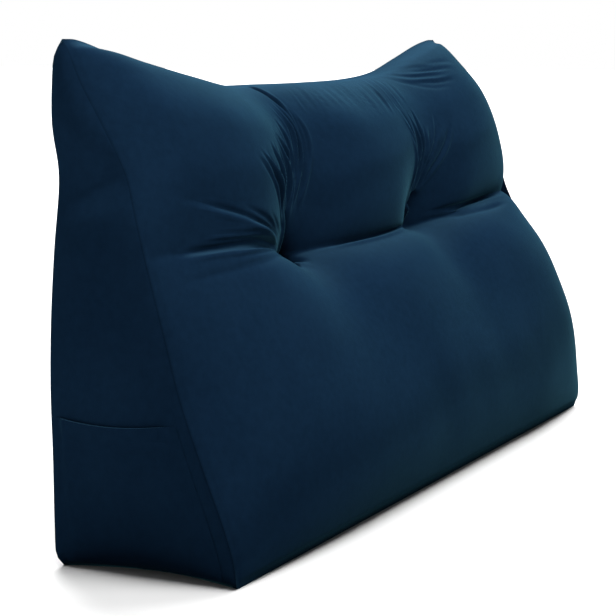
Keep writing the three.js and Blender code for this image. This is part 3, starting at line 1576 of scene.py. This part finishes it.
@dataclass(frozen=True)
class Velvet:
    """A velvet finish.

    Args:
        name: the material's name.
        base: its colour, linear.
        deep: its colour where the pile lies the other way.
        sheen_tint: the colour of its sheen.
        sheen: how strong the sheen is.
        sheen_roughness: how wide the sheen spreads.
        roughness: roughness of the pile.
        clouds: where the pile lies which way.
        cloud_range: the noise at which it is all deep, and at which it is all base.
        facing_shade: painted light and shade by the way the cloth faces, how light it is, 2 for its full
            colour, from cloth that faces down to cloth that faces up.
        facing_shade_stops: where those values lie, from the first direction of facing_shade_range to the
            last.
        facing_shade_range: how far up the cloth faces, from its first value to its last.
        painted_sheen: a painted sheen, the pale colour added where the cloth faces up.
        painted_sheen_range: how far up the cloth faces where that starts, and where it is full.
        foot: how light the painted shade at the foot makes the cloth, and how light the rest is.
        foot_shade_range: the heights between which the painted shade goes over into the rest.
        foot_shade_right: how much higher the painted shade reaches for each metre to the right.
        flecks: the fine unevenness of the colour.
        fleck_range: the noise at which a fleck is darkest, and at which it is lightest.
        fleck: how light those are.
        seam_shade: how light the cloth is in the painted shade along an end seam.
        pile: the noise of the pile.
        pile_bump: strength and height of its bumps.
        soft: the noise of the wider unevenness.
        soft_bump: strength and height of its bumps.
    """

    name: str
    base: Rgb
    deep: Rgb
    sheen_tint: Rgb
    sheen: float
    sheen_roughness: float
    roughness: float = 0.85
    clouds: Grain = Grain(7.0, 3.0)
    cloud_range: Pair = (0.35, 0.68)
    facing_shade: tuple[float, ...] = (0.42, 0.80, 0.72, 0.93, 1.02, 1.92)
    facing_shade_stops: tuple[float, ...] = (0.0, 0.333, 0.45, 0.58, 0.73, 1.0)
    facing_shade_range: Pair = (-0.5, 1.0)
    painted_sheen: Rgb = (0.0045, 0.0100, 0.0080)
    painted_sheen_range: Pair = (0.66, 1.0)
    foot: Pair = (0.71, 1.0)
    foot_shade_range: Pair = (-0.05, 0.22)
    foot_shade_right: float = 0.22
    flecks: Grain = Grain(120.0, 5.0, 0.65)
    fleck_range: Pair = (0.30, 0.70)
    fleck: Pair = (0.90, 1.10)
    seam_shade: float = 0.64
    pile: Grain = Grain(1400.0, 2.0, 0.6)
    pile_bump: Pair = (0.25, 0.0006)
    soft: Grain = Grain(90.0, 3.0, 0.55)
    soft_bump: Pair = (0.12, 0.0015)


COVER = Velvet(
    name="dark_velvet",
    base=(0.0094, 0.0317, 0.0720),
    deep=(0.0077, 0.0264, 0.0615),
    sheen_tint=(0.26, 0.82, 1.00),
    sheen=0.085,
    sheen_roughness=0.28,
)


class Board:
    """The nodes of one material and the wires between them."""

    def __init__(self, material: bpy.types.Material) -> None:
        """Start from a material's own shader.

        Args:
            material: the material.
        """
        self.nodes = material.node_tree.nodes
        self.links = material.node_tree.links
        self.shader = self.nodes["Principled BSDF"]
        self.place = self.nodes.new("ShaderNodeTexCoord").outputs["Object"]

    def feed(self, value: Socket | Rgb | float, socket: Socket) -> None:
        """Lead a value into a socket.

        Args:
            value: another node's output, or a plain value.
            socket: the socket.
        """
        if isinstance(value, Socket):
            self.links.new(value, socket)
        else:
            socket.default_value = value

    def split(self, vector: Socket) -> tuple[Socket, Socket, Socket]:
        """Take a vector apart.

        Args:
            vector: the vector.

        Returns:
            Its X, Y and Z.
        """
        node = self.nodes.new("ShaderNodeSeparateXYZ")
        self.links.new(vector, node.inputs["Vector"])
        return node.outputs["X"], node.outputs["Y"], node.outputs["Z"]

    def math(self, operation: str, *values: Socket | float) -> Socket:
        """Work out a number.

        Args:
            operation: what is done.
            values: what it is done with.

        Returns:
            The number.
        """
        node = self.nodes.new("ShaderNodeMath")
        node.operation = operation
        for value, socket in zip(values, node.inputs):
            self.feed(value, socket)
        return node.outputs["Value"]

    def remap(self, value: Socket, source: Pair, target: Pair = (0.0, 1.0), soft: bool = False) -> Socket:
        """Take a number from one range to another.

        Args:
            value: the number.
            source: the range that it comes from.
            target: the range that it goes to.
            soft: ease in and out of the ends.

        Returns:
            The new number.
        """
        node = self.nodes.new("ShaderNodeMapRange")
        if soft:
            node.interpolation_type = "SMOOTHSTEP"
        for label, number in zip(("From Min", "From Max", "To Min", "To Max"), (*source, *target)):
            node.inputs[label].default_value = number
        self.links.new(value, node.inputs["Value"])
        return node.outputs["Result"]

    def scaled(self, vector: Socket | Rgb, factor: Socket) -> Socket:
        """Make a colour lighter or darker.

        Args:
            vector: the colour.
            factor: how light it becomes.

        Returns:
            The new colour.
        """
        node = self.nodes.new("ShaderNodeVectorMath")
        node.operation = "SCALE"
        self.feed(vector, node.inputs[0])
        self.feed(factor, node.inputs["Scale"])
        return node.outputs["Vector"]

    def added(self, first: Socket, second: Socket) -> Socket:
        """Add two colours.

        Args:
            first: the one.
            second: the other.

        Returns:
            Their sum.
        """
        node = self.nodes.new("ShaderNodeVectorMath")
        node.operation = "ADD"
        self.feed(first, node.inputs[0])
        self.feed(second, node.inputs[1])
        return node.outputs["Vector"]

    def noise(self, grain: Grain) -> Socket:
        """Lay a noise over the piece.

        Args:
            grain: what it is like.

        Returns:
            Its value.
        """
        node = self.nodes.new("ShaderNodeTexNoise")
        node.inputs["Scale"].default_value = grain.scale
        node.inputs["Detail"].default_value = grain.detail
        node.inputs["Roughness"].default_value = grain.roughness
        self.links.new(self.place, node.inputs["Vector"])
        return node.outputs["Fac"]

    def blend(self, value: Socket, stops: Pair, colours: tuple[Rgb, Rgb]) -> Socket:
        """Go from one colour to another.

        Args:
            value: the number that decides.
            stops: where it is all the first colour, and where all the second.
            colours: the two colours.

        Returns:
            The colour.
        """
        node = self.nodes.new("ShaderNodeValToRGB")
        for element, stop, colour in zip(node.color_ramp.elements, stops, colours):
            element.position = stop
            element.color = (*colour, 1.0)
        self.links.new(value, node.inputs["Fac"])
        return node.outputs["Color"]

    def curve(self, value: Socket, stops: tuple[float, ...], heights: tuple[float, ...]) -> Socket:
        """Follow a curve.

        Args:
            value: where it is read, from 0 to 1.
            stops: places of its points, from 0 to 1.
            heights: their heights, from 0 to 1.

        Returns:
            The height there.
        """
        node = self.nodes.new("ShaderNodeFloatCurve")
        line = node.mapping.curves[0]
        line.points[0].location = (stops[0], heights[0])
        line.points[1].location = (stops[-1], heights[-1])
        for stop, height in zip(stops[1:-1], heights[1:-1]):
            line.points.new(stop, height)
        node.mapping.update()
        self.links.new(value, node.inputs["Value"])
        return node.outputs["Value"]

    def bump(self, height: Socket, bump: Pair, over: Socket | None = None) -> Socket:
        """Raise bumps.

        Args:
            height: their height, from 0 to 1.
            bump: their strength and full height.
            over: other bumps that they lie on.

        Returns:
            The direction of the surface.
        """
        node = self.nodes.new("ShaderNodeBump")
        node.inputs["Strength"].default_value, node.inputs["Distance"].default_value = bump
        self.links.new(height, node.inputs["Height"])
        if over is not None:
            self.links.new(over, node.inputs["Normal"])
        return node.outputs["Normal"]


def velvet(finish: Velvet) -> bpy.types.Material:
    """Make a velvet material.

    Args:
        finish: its colours and numbers.

    Returns:
        The material.
    """
    material = bpy.data.materials.new(finish.name)
    material.use_nodes = True
    board = Board(material)
    clouds = board.noise(finish.clouds)
    colour = board.blend(clouds, finish.cloud_range, (finish.deep, finish.base))

    # Painted shade: the cloth is darker towards the base, and the dark foot reaches higher towards the
    # right end.
    x, _, z = board.split(board.place)
    level = board.math("MULTIPLY_ADD", board.math("MAXIMUM", x, 0.0), -finish.foot_shade_right, z)
    foot = board.remap(level, finish.foot_shade_range, finish.foot, soft=True)
    # Painted light and shade: the colour is lighter where the cloth faces up and darker where it faces
    # sideways or down.
    facing = board.nodes.new("ShaderNodeNewGeometry").outputs["Normal"]
    _, _, upward = board.split(facing)
    # A curve ends at height 1, so it holds half of each value, and the colours are set for that.
    halves = tuple(value / 2 for value in finish.facing_shade)
    facing_shade = board.curve(board.remap(upward, finish.facing_shade_range), finish.facing_shade_stops, halves)
    flecks = board.remap(board.noise(finish.flecks), finish.fleck_range, finish.fleck)
    # Painted shade: the cloth is darker in a narrow line along the end seams.
    seam = board.nodes.new("ShaderNodeAttribute")
    seam.attribute_name = "seam_shade"
    seam_shading = board.remap(seam.outputs["Fac"], (0.0, 1.0), (1.0, finish.seam_shade))
    light = board.math("MULTIPLY", board.math("MULTIPLY", foot, seam_shading), flecks)
    light = board.math("MULTIPLY", light, facing_shade)
    # Painted sheen: a pale colour is added where the cloth faces up.
    pale = board.remap(upward, finish.painted_sheen_range, soft=True)
    coat = board.added(board.scaled(colour, light), board.scaled(finish.painted_sheen, pale))

    fine = board.bump(board.noise(finish.pile), finish.pile_bump)
    wide = board.bump(board.noise(finish.soft), finish.soft_bump, over=fine)
    inputs = board.shader.inputs
    board.feed(coat, inputs["Base Color"])
    board.feed(wide, inputs["Normal"])
    inputs["Roughness"].default_value = finish.roughness
    inputs["Specular IOR Level"].default_value = 0.0
    inputs["Sheen Weight"].default_value = finish.sheen
    inputs["Sheen Roughness"].default_value = finish.sheen_roughness
    inputs["Sheen Tint"].default_value = (*finish.sheen_tint, 1.0)
    return material


@dataclass(frozen=True)
class Lamp:
    """One wide, soft light of the studio.

    Args:
        name: its name.
        azimuth: bearing round the part, as in the frame's views.
        elevation: height over the horizon, in degrees.
        strength: how strong it is, 1 making a white sheet that faces it white.
        spread: how wide it looks from the part, in degrees.
    """

    name: str
    azimuth: float
    elevation: float
    strength: float
    spread: float


@dataclass(frozen=True)
class Studio:
    """Camera, lights and floor.

    Args:
        azimuth: bearing of the camera round the part, in degrees.
        elevation: its height over the horizon, in degrees.
        distance: how far it stands from its aim.
        aim: the point that it looks at.
        lens: its focal length, in millimetres.
        sensor: width of its sensor, in millimetres.
        sight: the nearest and the furthest that it sees.
        lamps: the lamps.
        lamp_distance: how far the lamps hang.
        walls: how bright the pale walls round the part are.
        dome: how bright it is over them.
        wall_range: where the one goes over into the other, as a share of the way to overhead.
        floor_reach: how far the floor reaches each way.
        floor_tone: how light it is.
        floor_roughness: how dull it is.
        floor_gloss: how strongly it shines.
    """

    azimuth: float = -64.0
    elevation: float = 8.0
    distance: float = 2.06
    aim: tuple[float, float, float] = (-0.140, 0.0, 0.210)
    lens: float = 110.45
    sensor: float = 36.0
    sight: Pair = (0.05, 60.0)
    lamps: tuple[Lamp, ...] = (
        Lamp("key", 84.0, 43.0, 0.80, 40.0),
        Lamp("top", 0.0, 74.0, 1.06, 40.0),
        Lamp("edge", 124.0, 38.0, 1.45, 30.0),
    )
    lamp_distance: float = 3.0
    walls: float = 1.0
    dome: float = 0.10
    wall_range: Pair = (0.12, 0.24)
    floor_reach: float = 30.0
    floor_tone: float = 0.74
    floor_roughness: float = 0.9
    floor_gloss: float = 0.1

    @staticmethod
    def bearing(azimuth: float, elevation: float) -> Vector:
        """The direction from the part towards a place round it."""
        a, e = math.radians(azimuth), math.radians(elevation)
        return Vector((math.sin(a) * math.cos(e), -math.cos(a) * math.cos(e), math.sin(e)))

    def camera(self) -> None:
        """Set up the camera at the photograph's viewing angle."""
        data = bpy.data.cameras.new("camera")
        data.lens = self.lens
        data.sensor_width = self.sensor
        data.clip_start, data.clip_end = self.sight
        cam = bpy.data.objects.new("camera", data)
        back = self.bearing(self.azimuth, self.elevation)
        cam.location = Vector(self.aim) + back * self.distance
        cam.rotation_mode = "QUATERNION"
        cam.rotation_quaternion = (-back).to_track_quat("-Z", "Y")
        bpy.context.scene.collection.objects.link(cam)
        bpy.context.scene.camera = cam

    def lights(self) -> None:
        """Hang the lights and make the pale walls round the part."""
        for lamp in self.lamps:
            data = bpy.data.lights.new(lamp.name, "SUN")
            data.angle = math.radians(lamp.spread)
            data.energy = math.pi * lamp.strength
            obj = bpy.data.objects.new(lamp.name, data)
            way = self.bearing(lamp.azimuth, lamp.elevation)
            obj.location = way * self.lamp_distance
            obj.rotation_mode = "QUATERNION"
            obj.rotation_quaternion = way.to_track_quat("Z", "Y")
            bpy.context.scene.collection.objects.link(obj)
        world = bpy.data.worlds.new("studio")
        world.use_nodes = True
        nodes, links = world.node_tree.nodes, world.node_tree.links
        shade = nodes["Background"]
        shade.inputs["Color"].default_value = (1.0, 1.0, 1.0, 1.0)
        place = nodes.new("ShaderNodeTexCoord")
        parts = nodes.new("ShaderNodeSeparateXYZ")
        wall = nodes.new("ShaderNodeMapRange")
        wall.inputs["From Min"].default_value = self.wall_range[0]
        wall.inputs["From Max"].default_value = self.wall_range[1]
        wall.inputs["To Min"].default_value = self.walls
        wall.inputs["To Max"].default_value = self.dome
        links.new(place.outputs["Generated"], parts.inputs["Vector"])
        links.new(parts.outputs["Z"], wall.inputs["Value"])
        links.new(wall.outputs["Result"], shade.inputs["Strength"])
        bpy.context.scene.world = world

    def floor(self) -> None:
        """Lay a plain pale floor."""
        mesh = bpy.data.meshes.new("floor")
        r = self.floor_reach
        mesh.from_pydata([(-r, -r, 0), (r, -r, 0), (r, r, 0), (-r, r, 0)], [], [(0, 1, 2, 3)])
        obj = bpy.data.objects.new("floor", mesh)
        material = bpy.data.materials.new("pale_floor")
        material.use_nodes = True
        shader = material.node_tree.nodes["Principled BSDF"]
        shader.inputs["Base Color"].default_value = (self.floor_tone,) * 3 + (1.0,)
        shader.inputs["Roughness"].default_value = self.floor_roughness
        shader.inputs["Specular IOR Level"].default_value = self.floor_gloss
        mesh.materials.append(material)
        bpy.context.scene.collection.objects.link(obj)

    def build(self) -> None:
        """Make the whole studio."""
        self.camera()
        self.lights()
        self.floor()
        view = bpy.context.scene.view_settings
        view.view_transform = "Standard"
        view.look = "None"


@dataclass(frozen=True)
class Pocket:
    """The cloth pocket of the left end, sewn into the seams, its mouth at the top.

    Args:
        mouth: height of the mouth's rear end, as a share of the height.
        slope: how much higher its front end would be at the front seam.
        sag: how much lower the middle of the mouth hangs.
        foot: height of its lower edge.
        front: how far its front edge stands from the front seam, as a share of the depth.
        rear: where its rear edge stands, as the same share.
        gap: distance from the end's own cloth.
        thickness: thickness of the cloth.
        seam: thickness that is left at the sewn edges.
        hem: depth of the folded hem.
        hem_thickness: how much thicker the hem is.
        hem_edge: how suddenly it ends.
        front_ramp: how the cloth gains its thickness from the front edge, as a share of the depth.
        rear_ramp: how it does from the rear edge.
        foot_ramp: how it does from the lower edge, as a share of the height.
        columns: how many points lie across it.
        shape: the wedge's form.
    """

    mouth: float = 0.294
    slope: float = 0.007
    sag: float = 0.010
    foot: float = 0.012
    front: float = 0.075
    rear: float = 0.945
    gap: float = 0.0004
    thickness: float = 0.0016
    seam: float = 0.0001
    hem: float = 0.016
    hem_thickness: float = 0.0014
    hem_edge: float = 0.002
    front_ramp: Ramp = Ramp(0.04, 0.08)
    rear_ramp: Ramp = Ramp(0.02, 0.05)
    foot_ramp: Ramp = Ramp(0.0, 0.06)
    columns: int = 61
    shape: Wedge = WEDGE

    def build(self) -> bpy.types.Object:
        """Make the pocket.

        Returns:
            The finished piece, riding on the part and replacing its solid.
        """
        across = np.linspace(self.front, self.rear, self.columns)
        mouth = self.mouth + self.slope * (1 - across) - self.sag * np.sin(np.pi * across)
        rows = np.concatenate([np.linspace(0, 0.90, 34), np.linspace(0.91, 1.0, 10)])
        v = self.foot + (mouth - self.foot)[:, None] * rows[None, :]
        t = across[:, None] + 0 * v
        base = self.shape.end(-1.0, t, v)
        out = -np.cross(np.gradient(base, axis=0), np.gradient(base, axis=1))
        out /= np.linalg.norm(out, axis=-1, keepdims=True)
        below = (mouth[:, None] - v) * self.shape.height
        hem = ease((self.hem - below) / self.hem_edge)
        side = self.front_ramp.at(across - self.front) * self.rear_ramp.at(self.rear - across)
        full = side[:, None] * self.foot_ramp.at(v - self.foot)
        thick = self.seam + (self.thickness + self.hem_thickness * hem) * full
        inner = base + out * self.gap
        outer = base + out * (self.gap + thick)[..., None]
        made = Fabric()
        far = made.lay(outer, Panel.LEFT_END, t, v)
        near = made.lay(inner, Panel.LEFT_END, t, v)
        made.weave(far, flip=True)
        made.weave(near)
        rim = [(i, 0) for i in range(len(across))]
        rim += [(len(across) - 1, j) for j in range(1, len(rows))]
        rim += [(i, len(rows) - 1) for i in range(len(across) - 2, -1, -1)]
        rim += [(0, j) for j in range(len(rows) - 2, 0, -1)]
        for (i, j), (k, m) in zip(rim, rim[1:] + rim[:1]):
            made.faces.append((int(far[k, m]), int(far[i, j]), int(near[i, j]), int(near[k, m])))
        obj = made.sewn("side_pocket")
        obj.data.materials.append(velvet(COVER))
        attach(obj, "root")
        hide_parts("pocket")
        log.info("%s: %d points", obj.name, len(obj.data.vertices))
        return obj


def main() -> None:
    """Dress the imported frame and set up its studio."""
    logging.basicConfig(level=logging.INFO, format="%(message)s", force=True)
    Studio().build()
    Cushion().build()
    Pocket().build()


if __name__ == "__main__":
    main()
